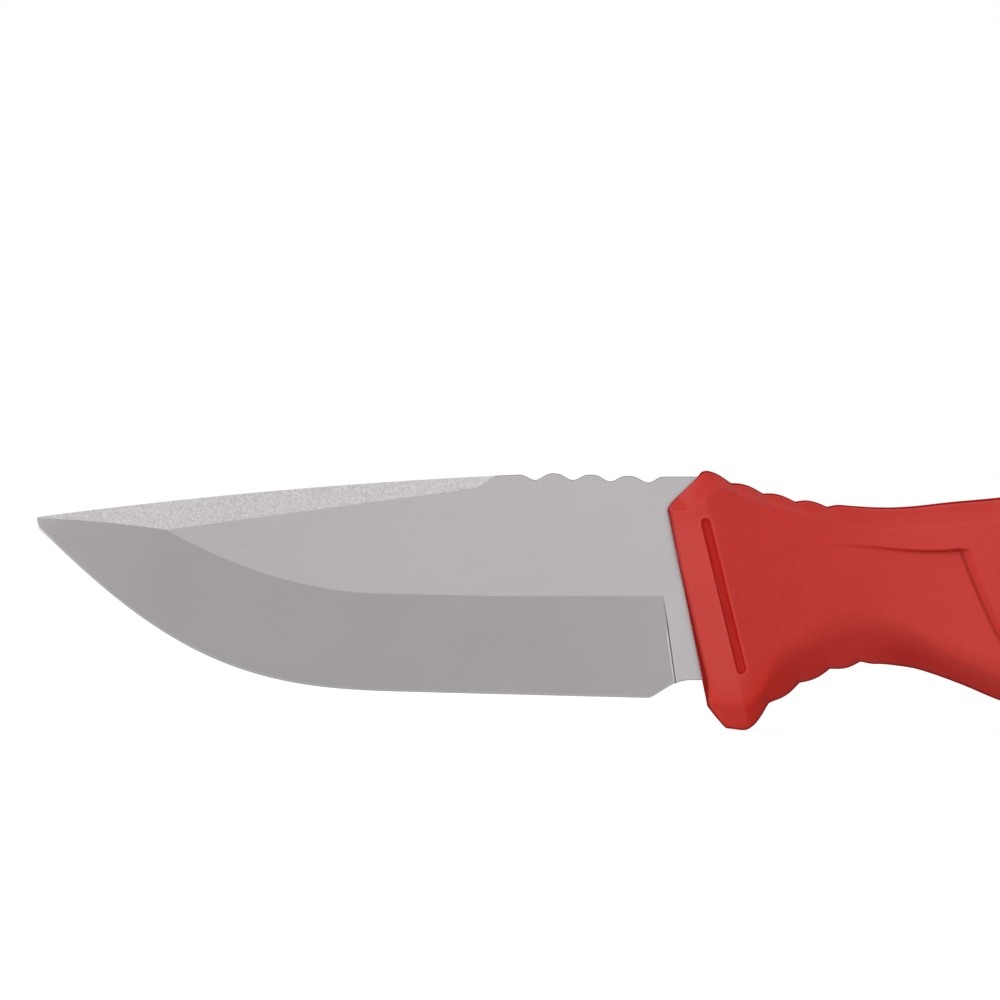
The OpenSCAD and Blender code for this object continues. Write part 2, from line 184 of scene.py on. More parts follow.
class Nodes:
    """Short calls that add shader nodes to one material."""

    def __init__(self, name):
        self.material = bpy.data.materials.new(name)
        self.material.use_nodes = True
        self.tree = self.material.node_tree
        self.shader = self.tree.nodes["Principled BSDF"]
        self.place = self.add("ShaderNodeTexCoord").outputs["Object"]

    def add(self, kind, **settings):
        node = self.tree.nodes.new(kind)
        for key, value in settings.items():
            setattr(node, key, value)
        return node

    def link(self, value, target):
        connect(self.tree, value, target)

    def set(self, **inputs):
        for key, value in inputs.items():
            self.link(value, self.shader.inputs[key.replace("_", " ")])

    def stretched(self, scale):
        """The object's own coordinates in metres, times scale on each axis."""
        node = self.add("ShaderNodeMapping")
        node.inputs["Scale"].default_value = scale
        self.link(self.place, node.inputs["Vector"])
        return node.outputs["Vector"]

    def noise(self, scale, detail=2.0, roughness=0.5):
        """Noise whose cells are about 1 / scale metres on each axis."""
        node = self.add("ShaderNodeTexNoise")
        node.inputs["Scale"].default_value = 1.0
        node.inputs["Detail"].default_value = detail
        node.inputs["Roughness"].default_value = roughness
        self.link(self.stretched(scale), node.inputs["Vector"])
        return node.outputs["Fac"]

    def fit(self, value, low, high, from_low=0.3, from_high=0.7):
        """From low to high, as value goes from from_low to from_high."""
        node = self.add("ShaderNodeMapRange")
        node.inputs["From Min"].default_value = from_low
        node.inputs["From Max"].default_value = from_high
        node.inputs["To Min"].default_value = low
        node.inputs["To Max"].default_value = high
        self.link(value, node.inputs["Value"])
        return node.outputs["Result"]

    def math(self, operation, a, b):
        node = self.add("ShaderNodeMath", operation=operation)
        self.link(a, node.inputs[0])
        self.link(b, node.inputs[1])
        return node.outputs["Value"]

    def plus(self, a, b):
        return self.math("ADD", a, b)

    def times(self, a, b):
        return self.math("MULTIPLY", a, b)

    def blend(self, factor, first, second):
        """A colour between two colours."""
        node = self.add("ShaderNodeMix", data_type="RGBA")
        self.link(factor, node.inputs["Factor"])
        for colour, target in ((first, node.inputs[6]), (second, node.inputs[7])):
            plain = isinstance(colour, tuple)
            self.link((*colour, 1) if plain else colour, target)
        return node.outputs[2]

    def bump(self, height, depth, strength=1.0):
        """Bump of the given depth in metres."""
        node = self.add("ShaderNodeBump")
        node.inputs["Distance"].default_value = depth
        self.link(strength, node.inputs["Strength"])
        self.link(height, node.inputs["Height"])
        self.link(node.outputs["Normal"], self.shader.inputs["Normal"])

    def coordinate(self, axis):
        """The object's own X, Y or Z coordinate in metres."""
        node = self.add("ShaderNodeSeparateXYZ")
        self.link(self.place, node.inputs[0])
        return node.outputs[axis]

    def attribute(self, name):
        node = self.add("ShaderNodeAttribute", attribute_name=name)
        return node.outputs["Fac"]


# Painted light: steel is this much darker at the tip and lighter at the guard than its tone, as the
# light falls off along the blade.
TIP_PAINTED_SHADE = 0.95
GUARD_PAINTED_LIGHT = 1.045
# Metres along the blade between those two.
PAINTED_FALLOFF_RANGE = (-0.095, 0.0)
# Steel is smoother beside the guard: by this factor, between these distances in metres.
GUARD_SMOOTH = 0.6
SMOOTH_RANGE = (-0.008, -0.003)
# How much the tone varies on plain steel, and how much more where it is blasted.
STEEL_SPREAD = 0.03
FROST_SPREAD = 0.16


def satin_steel(name, tone, roughness, grain, depth, lines=0.5, frost=0.0):
    """Ground stainless steel. grain is the noise scale on each axis: low along the
    lines that the belt leaves and high across them. lines is how much they show in the
    tone, and frost adds a blasted sparkle."""
    m = Nodes(name)
    scratches = m.noise(grain, detail=3, roughness=0.65)
    specks = m.noise((2900, 2900, 2900), detail=2, roughness=0.7)
    cloud = m.noise((70, 70, 90), detail=2)
    mixed = m.plus(m.times(scratches, lines), m.times(cloud, 0.9 - lines))
    mixed = m.plus(m.times(mixed, 0.9 - frost), m.times(specks, 0.1 + frost))
    mixed = m.fit(mixed, 0, 1, 0.34, 0.62)
    spread = STEEL_SPREAD + FROST_SPREAD * frost

    def speckled(level):
        dark = tuple(level * (1 - spread) * c for c in tone)
        light = tuple(min(1.0, level * (1 + spread) * c) for c in tone)
        return m.blend(mixed, dark, light)

    # Painted light and shade along the blade, from the tip to the guard.
    along = m.fit(m.coordinate("X"), 0, 1, *PAINTED_FALLOFF_RANGE)
    m.set(Base_Color=m.blend(along, speckled(TIP_PAINTED_SHADE), speckled(GUARD_PAINTED_LIGHT)), Metallic=1.0)
    ahead = m.plus(m.coordinate("X"), m.times(m.coordinate("Z"), GUARD_LEAN))
    smooth = m.fit(ahead, 1, GUARD_SMOOTH, *SMOOTH_RANGE)
    scratched = m.fit(scratches, roughness - 0.03, roughness + 0.04)
    m.set(Roughness=m.times(scratched, smooth))
    m.bump(m.plus(scratches, m.times(specks, 0.5 + 3 * frost)), depth)
    return m.material


# Heights in metres between which the plunge's painted highlight and painted shade fade out.
PLUNGE_FADE = (-0.0065, -0.0035)


def plunge_steel(name, tone):
    """Steel of the plunge, which has its own tone only near the heel: a painted highlight on the
    lip and painted shade on the wall.
    """
    m = Nodes(name)
    lines = m.noise((4000, 900, 400), detail=2)
    near_heel = m.fit(m.coordinate("Z"), 1, 0, *PLUNGE_FADE)
    m.set(Base_Color=m.blend(near_heel, STEEL_TONE, tone))
    m.set(Metallic=1.0, Roughness=m.fit(lines, 0.26, 0.34))
    return m.material


def polished_steel(name, tone, roughness):
    m = Nodes(name)
    turned_lines = m.noise((900, 6000, 900), detail=2)
    m.set(Base_Color=m.blend(m.fit(turned_lines, 0, 1), tuple(0.93 * c for c in tone), tone))
    m.set(Metallic=1.0, Roughness=m.fit(turned_lines, roughness, roughness + 0.1))
    m.bump(turned_lines, 0.000004)
    return m.material


# Roughness and gloss of the smooth elastomer, and how they change where it is textured.
SMOOTH_ROUGHNESS = 0.40
TEXTURED_ROUGHER = 0.15
SMOOTH_GLOSS = 0.54
TEXTURED_DULLER = 0.08


def red_elastomer():
    """Moulded red elastomer. Four attributes of the mesh say where it differs: grain
    where the mould is textured, painted shade where it is darker, painted light and
    highlights where it is paler, and recess where it has less gloss."""
    m = Nodes("red_elastomer")
    textured = m.attribute("grain")
    pits = m.noise((2700, 2700, 2700), detail=3, roughness=0.62)
    mottle = m.noise((130, 130, 130), detail=2)
    speckled = m.times(m.plus(pits, -0.5), m.times(textured, 0.75))
    tone = m.plus(m.plus(m.times(mottle, 0.25), 0.375), speckled)
    colour = m.blend(m.fit(tone, 0, 1), RED_DARK, RED_LIGHT)
    # Painted light and painted shade: paler for highlights and sheen on the lip, the strip and the
    # palm, darker for shade in the slot, at the step's foot, on the guard's front edge and on the
    # underside.
    colour = m.blend(m.attribute("painted_light"), colour, RED_PAINTED_LIGHT)
    colour = m.blend(m.attribute("painted_shade"), colour, RED_PAINTED_SHADE)
    # Painted shade: darker where the surface turns edge-on to the view, as along the guard's front
    # edge.
    facing = m.add("ShaderNodeLayerWeight").outputs["Facing"]
    colour = m.blend(m.fit(facing, 0, 0.55, 0.55, 0.9), colour, RED_PAINTED_SHADE)
    m.set(Base_Color=colour)
    m.set(Roughness=m.plus(SMOOTH_ROUGHNESS, m.times(textured, TEXTURED_ROUGHER)))
    gloss = m.plus(SMOOTH_GLOSS, m.times(textured, -TEXTURED_DULLER))
    gloss = m.times(gloss, m.fit(facing, 1, 0.0, 0.3, 0.75))
    clean = m.math("SUBTRACT", 1.0, m.attribute("recess"))
    m.set(Specular_IOR_Level=m.times(gloss, clean))
    m.bump(pits, 0.00010, m.plus(0.10, m.times(textured, 0.65)))
    return m.material


def moulded_nylon():
    m = Nodes("black_nylon")
    speckle = m.noise((2500, 2500, 2500), detail=2)
    m.set(Base_Color=m.blend(m.fit(speckle, 0, 1), (0.012, 0.012, 0.013), (0.03, 0.03, 0.032)))
    m.set(Roughness=m.fit(speckle, 0.42, 0.58))
    m.bump(speckle, 0.00004)
    return m.material


RED_DARK = (0.68, 0.022, 0.013)
RED_LIGHT = (0.81, 0.034, 0.022)
# The next two colours are painted light and painted shade.
RED_PAINTED_LIGHT = (0.86, 0.075, 0.055)
RED_PAINTED_SHADE = (0.17, 0.006, 0.005)
STEEL_TONE = (0.612, 0.582, 0.589)
# Painted highlight and painted shade tones for steel: the lighter one on the cutting edge's bevel
# and the plunge's lip, the darker one on the plunge's wall.
PAINTED_HIGHLIGHT_TONE = (0.84, 0.82, 0.82)
PAINTED_SHADE_TONE = (0.34, 0.32, 0.32)
flat_steel = satin_steel("blade_flat", STEEL_TONE, 0.23, (260, 3000, 5200), 0.000003)
ground_steel = satin_steel(
    "blade_grind", STEEL_TONE, 0.23, (4200, 3000, 300), 0.0000025, lines=0.3
)
frost_steel = satin_steel(
    "blade_false_edge", STEEL_TONE, 0.40, (2600, 3000, 900), 0.000004, lines=0.3, frost=0.75
)
spine_steel = satin_steel("blade_spine", STEEL_TONE, 0.38, (4200, 300, 4200), 0.000004)
# The edge bevel and the plunge's lip get the painted highlight tone, and the plunge's wall the
# painted shade tone.
edge_steel = satin_steel("blade_edge", PAINTED_HIGHLIGHT_TONE, 0.30, (4000, 900, 400), 0.000002)
lip_steel = plunge_steel("blade_plunge_lip", PAINTED_HIGHLIGHT_TONE)
wall_steel = plunge_steel("blade_plunge_wall", PAINTED_SHADE_TONE)
eye_steel = polished_steel("eye_steel", (0.66, 0.65, 0.64), 0.16)
rivet_steel = polished_steel("rivet_steel", (0.58, 0.58, 0.58), 0.28)
red = red_elastomer()
nylon = moulded_nylon()


# ------------------------------------------------ the shared drawing

HANDLE_END = 116.0
SHOULDER_DEPTH = 6.0
HALF_STEEL = 1.5
SPINE_HEIGHT = 17.0
RICASSO_BOTTOM = -13.5

# The handle's outline in the side view: the guard's straight corners ahead of the keys of
# a smooth curve, above and then below.
TOP_FACET = [(-8, 4.9), (-2.5, 12.4), (-1.75, 13.4), (0.27, 15.3), (1.7, 16.75), (2.4, 17.65)]
TOP_KEYS = [
    (2.4, 17.7), (2.95, 17.87), (3.3, 17.9), (4.4, 17.6), (6.75, 16.6), (9.2, 15.75),
    (13.95, 14.35), (18.7, 13.4), (24, 12.72), (29.5, 12.4), (33.75, 12.55),
    (39.75, 13.2), (46.75, 13.85), (56, 15), (66, 15.6), (80, 15), (94, 13.2),
    (106, 12), (120, 11),
]
BOTTOM_FACET = [(-8, -3.85), (3.36, -17.7), (4.6, -19.2), (5.95, -20.7)]
BOTTOM_KEYS = [
    (5.95, -20.7), (7.6, -20.9), (9, -21), (10.2, -20.35), (11.4, -19.05),
    (12.7, -17.5), (14.9, -15.95), (19.5, -13.3), (24.2, -11.7), (28.5, -11.12),
    (31.75, -11.35), (35.25, -12), (41.25, -14.1), (46.75, -16.4), (54, -18.8),
    (61, -19.6), (72, -18.9), (84, -16.6), (94, -15.2), (103, -15.8), (110, -17.6),
    (120, -19),
]


def faceted(x, facet, keys):
    """Straight along the facet's corners, and then the smooth curve through keys."""
    at, value = np.array(facet, float).T
    start = keys[0][0]
    return np.where(x < start, np.interp(x, at, value), curve(keys, np.maximum(x, start)))


def plain_top(x):
    return faceted(x, TOP_FACET, TOP_KEYS)


def plain_bottom(x):
    return faceted(x, BOTTOM_FACET, BOTTOM_KEYS)


def notch(x, first, pitch, count=4):
    """The share of a grip notch's depth at x: round lands with a sharp valley between. The
    first of count notches is at first, and the others follow at the pitch."""
    turns = (x - first) / pitch
    wave = 1 - np.abs(np.sin(math.pi * turns))
    return np.where((turns < -0.5) | (turns > count - 0.5), 0, wave)


# ------------------------------------------------ blade

# These follow the CAD's own values.
TIP_X = -97.2
TIP_HEIGHT = 10.75
TIP_ROUND = 0.35
TIP_SPINE_RISE = 0.2
TIP_EDGE_FALL = 1.24
SPINE_BEND_X = -20.0
SPINE_BEND_HEIGHT = 17.5
SPINE_SLOPE = 0.038
SPINE_LEVEL_X = -6.0
NOTCH_COUNT = 4
NOTCH_PITCH = 5.6
LAST_NOTCH_X = -5.65
NOTCH_DEPTH = 0.9
NOTCH_POWER = 1.55
SPINE_ROUND = 0.07
EDGE_DROP = 16.35
EDGE_SLOPE = 0.0258
BELLY_X = -41.0
BELLY_POWER = 2.95
BELLY_END_POWER = 6.0
BELLY_END_SHARE = 0.227
GRIND_DROP = 0.9
GRIND_SLOPE_X = -28.0
GRIND_SLOPE = 0.022
GRIND_BEND_X = -46.0
GRIND_POWER = 1.95
MEET_X = -77.8
MEET_HEIGHT = 9.05
RIDGE_POWER = 1.6
FALSE_EDGE_SLOPE = 0.1345
FALSE_EDGE_LEAN = math.tan(math.radians(13.5))
FALSE_EDGE_END_X = -27.8
FALSE_EDGE_CURL = 4.0
PLUNGE_X = -3.3
PLUNGE_LEAN = 0.14
PLUNGE_BLEND = 9.0
# The plunge's wall: distance behind the plunge, and share of the rise to the flat.
PLUNGE_WALL = [(-0.30, 0.0), (-0.05, 0.10), (0.05, 0.55), (0.16, 0.94), (0.28, 1.0)]
# The wall has its full width up to the first height. Above the second, its sections, which
# are within a reach of the plunge, are drawn together by a share of their distance from it.
PLUNGE_FULL_Z = -6.0
PLUNGE_FINE_Z = -2.5
PLUNGE_REACH = 0.31
PLUNGE_SQUEEZE = 0.9
# The grind has one more line at this share of its height.
GRIND_KNEE = 0.6
HEEL_X = -5.7
CHOIL_END_X = 0.7
CHOIL_POWER = 1.3
RIDGE_GAP = 0.06
# The cutting edge: its bevel's height, its half width, and how far the bevel bulges from
# the ground face, which fades out over the last millimetres to the tip.
EDGE_BEVEL = 0.4
EDGE_HALF = 0.02
EDGE_BULGE = 0.03
BULGE_FADE = 6.0
TIP_HALF = 0.03
COARSE_STEP = 0.4
FINE_STEP = 0.14
SHOULDER_X = SHOULDER_DEPTH + GRIND_DROP * GUARD_LEAN
FLAT, GRIND, FROST, SPINE, EDGE, LIP, WALL = range(7)


def plain_spine(x):
    """The height of the spine without its notches."""
    reach = SPINE_BEND_X - TIP_X
    ahead = np.maximum(0, SPINE_BEND_X - x)
    drop = SPINE_BEND_HEIGHT - TIP_HEIGHT - TIP_SPINE_RISE - SPINE_SLOPE * reach
    fall = (SPINE_BEND_HEIGHT - SPINE_HEIGHT) * share(x, SPINE_BEND_X, SPINE_LEVEL_X)
    return SPINE_BEND_HEIGHT - fall - SPINE_SLOPE * ahead - drop * (ahead / reach) ** 2


def spine(x):
    turns = (x - LAST_NOTCH_X) / NOTCH_PITCH
    notched = (turns > 0.5 - NOTCH_COUNT) & (turns < 0.5)
    wave = ((1 + np.cos(2 * math.pi * turns)) / 2) ** NOTCH_POWER
    return plain_spine(x) - np.where(notched, NOTCH_DEPTH * wave, 0)


def full_edge(x):
    """The height of the cutting edge, drawn on to the guard."""
    bend = share(-x, -BELLY_X, -TIP_X)
    line = -EDGE_DROP - EDGE_SLOPE * x
    tip_line = -EDGE_DROP - EDGE_SLOPE * TIP_X
    rise = (1 + BELLY_END_SHARE) * bend ** BELLY_POWER - BELLY_END_SHARE * bend ** BELLY_END_POWER
    return line + (TIP_HEIGHT - TIP_EDGE_FALL - tip_line) * rise


def bottom(x):
    """The height of the blade's lower side: the edge, the choil and the ricasso."""
    cut_share = (1 - share(x, HEEL_X, CHOIL_END_X) ** CHOIL_POWER) ** 2
    heel = full_edge(np.array(HEEL_X))
    return np.where(x < HEEL_X, full_edge(x), RICASSO_BOTTOM + (heel - RICASSO_BOTTOM) * cut_share)


def ridge(x):
    """The height where the grind and the false edge meet, ahead of MEET_X."""
    t = share(-x, -MEET_X, -TIP_X)
    return MEET_HEIGHT + (TIP_HEIGHT - MEET_HEIGHT) * (1 - (1 - t) ** RIDGE_POWER)


def grind_line(x):
    line = -GRIND_DROP + GRIND_SLOPE * np.maximum(0, GRIND_SLOPE_X - x)
    meet_line = -GRIND_DROP + GRIND_SLOPE * (GRIND_SLOPE_X - MEET_X)
    bend = share(-x, -GRIND_BEND_X, -MEET_X) ** GRIND_POWER
    return np.where(x < MEET_X, ridge(x) - RIDGE_GAP / 2, line + (MEET_HEIGHT - meet_line) * bend)


def false_edge_line(x):
    line = MEET_HEIGHT + FALSE_EDGE_SLOPE * (x - MEET_X)
    curl = ease(x, FALSE_EDGE_END_X - FALSE_EDGE_CURL, FALSE_EDGE_END_X)
    curled = line + (spine(x) - SPINE_ROUND - line) * curl
    return np.where(x < MEET_X, ridge(x) + RIDGE_GAP / 2, curled)


def blade_stations():
    """Stations along the blade: close together at the tip, the notches and the plunge."""
    plunge = [PLUNGE_X + distance for distance, _ in PLUNGE_WALL]
    curl_x = FALSE_EDGE_END_X - FALSE_EDGE_CURL
    return np.concatenate([
        TIP_X + TIP_ROUND * np.array([0.0, 0.15, 0.45, 1.0]),
        np.arange(TIP_X + 2 * TIP_ROUND, curl_x, COARSE_STEP),
        np.arange(curl_x, PLUNGE_X - 0.2, FINE_STEP),
        plunge,
        np.arange(PLUNGE_X + 0.5, PLUNGE_X + 6.0, FINE_STEP),
        [SHOULDER_X],
    ])


def blade_section(s):
    """The blade's section at station s, from the edge up one side and down the other."""
    lean = PLUNGE_LEAN * ease(s, PLUNGE_X - PLUNGE_BLEND, PLUNGE_X)
    lean += (GUARD_LEAN - PLUNGE_LEAN) * share(s, PLUNGE_X, SHOULDER_X)
    top_x = s - lean * (SPINE_HEIGHT + GRIND_DROP)
    low_x = s - lean * (RICASSO_BOTTOM + GRIND_DROP)
    flat = max(TIP_HALF, HALF_STEEL * float(share(s, TIP_X, MEET_X)))
    tip = float(share(s, TIP_X, TIP_X + TIP_ROUND)) ** 0.5

    def near_tip(z):
        return TIP_HEIGHT + (float(z) - TIP_HEIGHT) * tip

    top = near_tip(spine(top_x))
    line = near_tip(false_edge_line(top_x))
    low = near_tip(bottom(low_x))
    grind = near_tip(grind_line(s))
    edge = float(full_edge(low_x))
    rise = min(EDGE_BEVEL, 0.3 * (grind - low))
    cut_share = float(share(low, edge, grind))
    low_half = EDGE_HALF + (flat - EDGE_HALF) * cut_share
    wide = EDGE_HALF + (flat - EDGE_HALF) * float(share(low + rise, edge, grind))
    bulge = EDGE_BULGE * float(share(s, TIP_X, TIP_X + BULGE_FADE))
    wide = min(flat, wide + bulge * (1 - cut_share))
    knee = low + rise + GRIND_KNEE * (grind - low - rise)
    knee_half = wide + GRIND_KNEE * (flat - wide)
    ground = np.array([
        (low_half, low), (wide, low + rise), (knee_half, knee), (flat, grind), (flat, line)
    ])
    fold = SPINE_ROUND
    whole = np.array([
        (flat - fold, low), (flat, low + fold), (flat, knee), (flat, grind), (flat, line)
    ])
    distances, rises = zip(*PLUNGE_WALL)
    half = ground + (whole - ground) * np.interp(s - PLUNGE_X, distances, rises)
    lean_in = max(0.0, top - line) * FALSE_EDGE_LEAN
    crest = max(EDGE_HALF, flat - max(lean_in, fold * float(share(s, TIP_X, MEET_X))))
    half = [tuple(point) for point in half] + [(crest, top), (crest * 0.5, top)]
    narrow = PLUNGE_SQUEEZE * (s - PLUNGE_X) * float(abs(s - PLUNGE_X) < PLUNGE_REACH)
    ring = [
        (s - lean * (z + GRIND_DROP) - narrow * float(share(z, PLUNGE_FULL_Z, PLUNGE_FINE_Z)), y, z)
        for y, z in half
    ]
    return ring + [(x, -y, z) for x, y, z in reversed(ring)]


def strip_zone(strip, s):
    """The finish of one lengthwise strip of the blade at station s; the LIP and WALL strips carry
    the plunge's painted highlight and painted shade.
    """
    behind = s - PLUNGE_X
    if strip in (GRIND, EDGE) and behind > PLUNGE_WALL[0][0] - 0.01:
        if behind < PLUNGE_WALL[1][0] - 0.01:
            return LIP
        return WALL if behind < PLUNGE_WALL[3][0] - 0.01 else FLAT
    if strip == FROST and s > FALSE_EDGE_END_X:
        return SPINE
    return strip


TANG_END = (81.5, -2.0)
TANG_END_RADIUS = 4.5
# The tang's outline starts and ends inside the blade's root.
TANG_LOW = (7.0, -7.0)
TANG_HIGH = (4.0, 8.0)


def tang_outline():
    arc = [
        (TANG_END[0] + TANG_END_RADIUS * math.sin(a), TANG_END[1] - TANG_END_RADIUS * math.cos(a))
        for a in np.linspace(0, math.pi, 33)
    ]
    return [TANG_LOW] + arc + [TANG_HIGH]


RIVET_PLACES = [(22, 0), (46, -0.8), (72, -1.6)]
RIVET_RADIUS = 2.0


def disc_outline(centre, radius, sides=64):
    return [
        (centre[0] + radius * math.cos(a), centre[1] + radius * math.sin(a))
        for a in 2 * math.pi * np.arange(sides) / sides
    ]


def make_blade():
    stations = blade_stations()
    points, faces = skin(np.array([blade_section(s) for s in stations]))
    half_strips = [EDGE, GRIND, GRIND, FLAT, FROST, SPINE]
    strips = half_strips + [SPINE] + half_strips[::-1] + [EDGE]
    zones = [strip_zone(strip, s) for s in stations[:-1] for strip in strips] + [FLAT, FLAT]
    steels = [
        flat_steel, ground_steel, frost_steel, spine_steel, edge_steel, lip_steel, wall_steel
    ]
    piece = mesh_piece("knife_blade", points, faces, steels, zones)
    tang = side_prism("tang", tang_outline(), -HALF_STEEL, HALF_STEEL)
    tang.data.materials.append(flat_steel)
    cut(piece, tang, "UNION")
    for place in RIVET_PLACES:
        cut(piece, side_prism("hole", disc_outline(place, RIVET_RADIUS), -10, 10))
    piece.data.polygons.foreach_set("use_smooth", np.ones(len(piece.data.polygons), bool))
    piece.data.set_sharp_from_angle(angle=math.radians(2.5))
    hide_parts("blade")
    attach(piece, BODY)


make_blade()


# ------------------------------------------------ grip

# Half width along the handle.
WIDTH_KEYS = [
    (-8, 9.5), (0, 10.15), (3, 10.5), (5.3, 10.75), (8, 10.5), (13, 9.85), (17, 9.5),
    (22, 9.35), (27, 9.35), (38, 10.1), (50, 11.3), (64, 11.75), (80, 11.4), (95, 10.3),
    (107, 10.1), (120, 10.3),
]
# Lean of the sections along the handle: with the guard, the slot and the palm step.
LEAN_KEYS = [
    (0, GUARD_LEAN), (3.9, 0.2525), (6.8, 0.2525), (20, 0.27), (36, 0.38), (42, 0.41),
    (47, 0.41), (58, 0.2), (72, 0), (90, 0), (116, math.tan(math.radians(8))),
]
# Upper and lower edges of the side panel.
PANEL_TOP_FACET = [(-8, 12.2), (0.1, 12.0), (4.5, 15.5)]
PANEL_TOP_KEYS = [
    (4.5, 15.5), (5.5, 15.35), (6.8, 14.95), (8.2, 14.3), (11.2, 13.25), (15.45, 11.75),
    (19.65, 10.8), (24.75, 9.9), (32.25, 9.75), (41.25, 10.2), (46.75, 10.9), (60, 11.6),
    (80, 11.2), (94, 9.6), (106, 8.6), (120, 7.8),
]
PANEL_LOW_FACET = [(-8, -17.4), (9.2, -17.25)]
PANEL_LOW_KEYS = [
    (9.2, -17.25), (10.65, -16.6), (12, -14.4), (13.2, -12.3), (14.6, -10.5), (17.2, -8.6),
    (21, -6.5), (27, -5.1), (33.7, -6.6), (36.9, -8.6), (41.25, -11), (46.75, -13.2),
    (54, -14.6), (61, -15), (72, -14.4), (84, -12.2), (94, -10.8), (103, -11.2),
    (120, -13.6),
]
# The guard's front is this far ahead of its plane, and its foot is up to this much behind that.
FRONT_LEAD = 0.22
FOOT_LAG = 0.7
# The guard's front edge: distance behind the front, and how far the side is drawn in there.
FRONT_EDGE = [(0.0, 1.2), (0.1, 0.9), (0.25, 0.5), (0.38, 0.2), (0.5, 0.06), (0.7, 0.0)]
BUTT_ROUND = 5.0
GRIP_NOTCH_DEPTH = 0.55
# The first notch and the pitch, behind the upper guard and behind the lower guard, and how
# far each kind reaches into the side.
TOP_NOTCHES = (6.75, 4.8)
LOW_NOTCHES = (12.7, 4.58)
TOP_NOTCH_REACH = 1.6
LOW_NOTCH_REACH = 1.5
SLOT_TOP = (2.95, 10.05)
SLOT_FOOT = (8.25, -11.75)
SLOT_STATION = 5.28
SLOT_HALF_WIDTH = 0.64
SLOT_DEPTH = 0.75
# The slot's raised lip: its distance from the slot, its width and its height.
LIP_GAP = 0.28
LIP_WIDTH = 0.16
LIP_HEIGHT = 0.05
# The rings are drawn finer round the slot's foot, between these parts of the side's height,
# but not within the rounding of its lower edge.
SLOT_FOOT_PARTS = (0.17, 0.25, 0.275)
LOW_CLEARANCE = 2.8
# How far the upper facet leans in, and the lower one, and what the waist and palm add to it.
TOP_LEAN_IN = 3.4
LOW_LEAN_IN = 2.3
LOW_LEAN_WAIST = 3.7
LOW_LEAN_PALM = -1.6
CROWN = 0.05
ROUND_OVER = 0.65
# The palm step: its depth, its upper line and the foot of its rear wall.
STEP_DEPTH = 1.15
STEP_LINE = [
    (18, 7.2), (22, 6.95), (26.25, 6.8), (33.75, 6.15), (38.4, 6.1), (41, 6.3), (60, 6.4)
]
STEP_LEG_TOP = 6.2
STEP_LEG_X = 40.85
STEP_LEDGE = 0.42
STEP_WALL = 1.6
STEP_STATION = 43.5


def grip_stations():
    """Stations along the grip: close together at its front, the slot, the step and the butt."""
    front = np.array([distance for distance, _ in FRONT_EDGE]) - FRONT_LEAD
    rim = np.array([-0.2, -0.13, -0.06, 0.0, 0.06, 0.12, 0.2, 0.32, 0.47]) + SLOT_HALF_WIDTH
    slot = np.concatenate([-rim[::-1], [-0.2, 0, 0.2], rim])
    butt = HANDLE_END - BUTT_ROUND + BUTT_ROUND * np.sin(np.linspace(0, math.pi / 2, 15))
    return np.concatenate([
        front,
        np.arange(0.55, SLOT_STATION - 1.2, 0.24),
        SLOT_STATION + slot,
        np.arange(SLOT_STATION + 1.3, 32, 0.25),
        np.arange(32, STEP_STATION - 0.8, 0.4),
        np.arange(STEP_STATION - 0.7, STEP_STATION + 2.4, 0.12),
        np.arange(STEP_STATION + 2.5, 56, 0.4),
        np.arange(56, HANDLE_END - BUTT_ROUND - 0.3, 0.8),
        butt,
    ])


def rounded_path(corners, radii, counts):
    """Points along a path with rounded corners, for all sections at once.
    corners: arrays of shape (sections, 2). radii: one array for each inner corner.
    counts: points on each straight, and on each inner corner in between."""
    parts = []
    last = len(corners) - 1
    start = corners[0]
    for k in range(1, last + 1):
        way = corners[k] - corners[k - 1]
        way = way / np.maximum(1e-9, np.linalg.norm(way, axis=1, keepdims=True))
        stop = corners[k] - way * radii[k - 1][:, None] if k < last else corners[k]
        t = np.linspace(0, 1, counts[2 * k - 2], endpoint=False)[None, :, None]
        parts.append(start[:, None] * (1 - t) + stop[:, None] * t)
        if k == last:
            break
        out = corners[k + 1] - corners[k]
        out = out / np.maximum(1e-9, np.linalg.norm(out, axis=1, keepdims=True))
        leave = corners[k] + out * radii[k - 1][:, None]
        t = np.linspace(0, 1, counts[2 * k - 1], endpoint=False)[None, :, None]
        parts.append(
            stop[:, None] * (1 - t) ** 2 + 2 * corners[k][:, None] * t * (1 - t)
            + leave[:, None] * t * t
        )
        start = leave
    parts.append(corners[last][:, None])
    return np.concatenate(parts, axis=1)


def at_stations(s, lean, line, start):
    """The height where the leaned section at each station meets a line of the side view."""
    z = np.full_like(s, start)
    for _ in range(40):
        z = line(s - lean * z)
    return z


def on_lip(distance):
    """The share of the slot's lip at a distance from the slot's middle line."""
    return bell(distance - SLOT_HALF_WIDTH - LIP_GAP, LIP_WIDTH)


def slot_cut(x, z):
    """How deep the slot along the guard is at a point of the side view, and how far the
    point is from the slot's middle line."""
    a, b = np.array(SLOT_TOP), np.array(SLOT_FOOT)
    way = b - a
    length = np.linalg.norm(way)
    way = way / length
    along = (x - a[0]) * way[0] + (z - a[1]) * way[1]
    across = (x - a[0]) * way[1] - (z - a[1]) * way[0]
    over = np.maximum(0, np.maximum(-along, along - length))
    distance = np.hypot(across, over)
    # The slot's rear wall is the flatter one.
    wall = 0.34 - 0.12 * ease(across, -0.1, 0.1)
    depth = SLOT_DEPTH * share(SLOT_HALF_WIDTH + 0.1 - distance, 0, wall)
    return depth - LIP_HEIGHT * on_lip(distance), distance


def step_leg_x(z):
    """The foot of the palm step's rear wall at height z."""
    down = STEP_LEG_TOP - z
    return STEP_LEG_X + 0.36 * down + 0.0052 * down * down


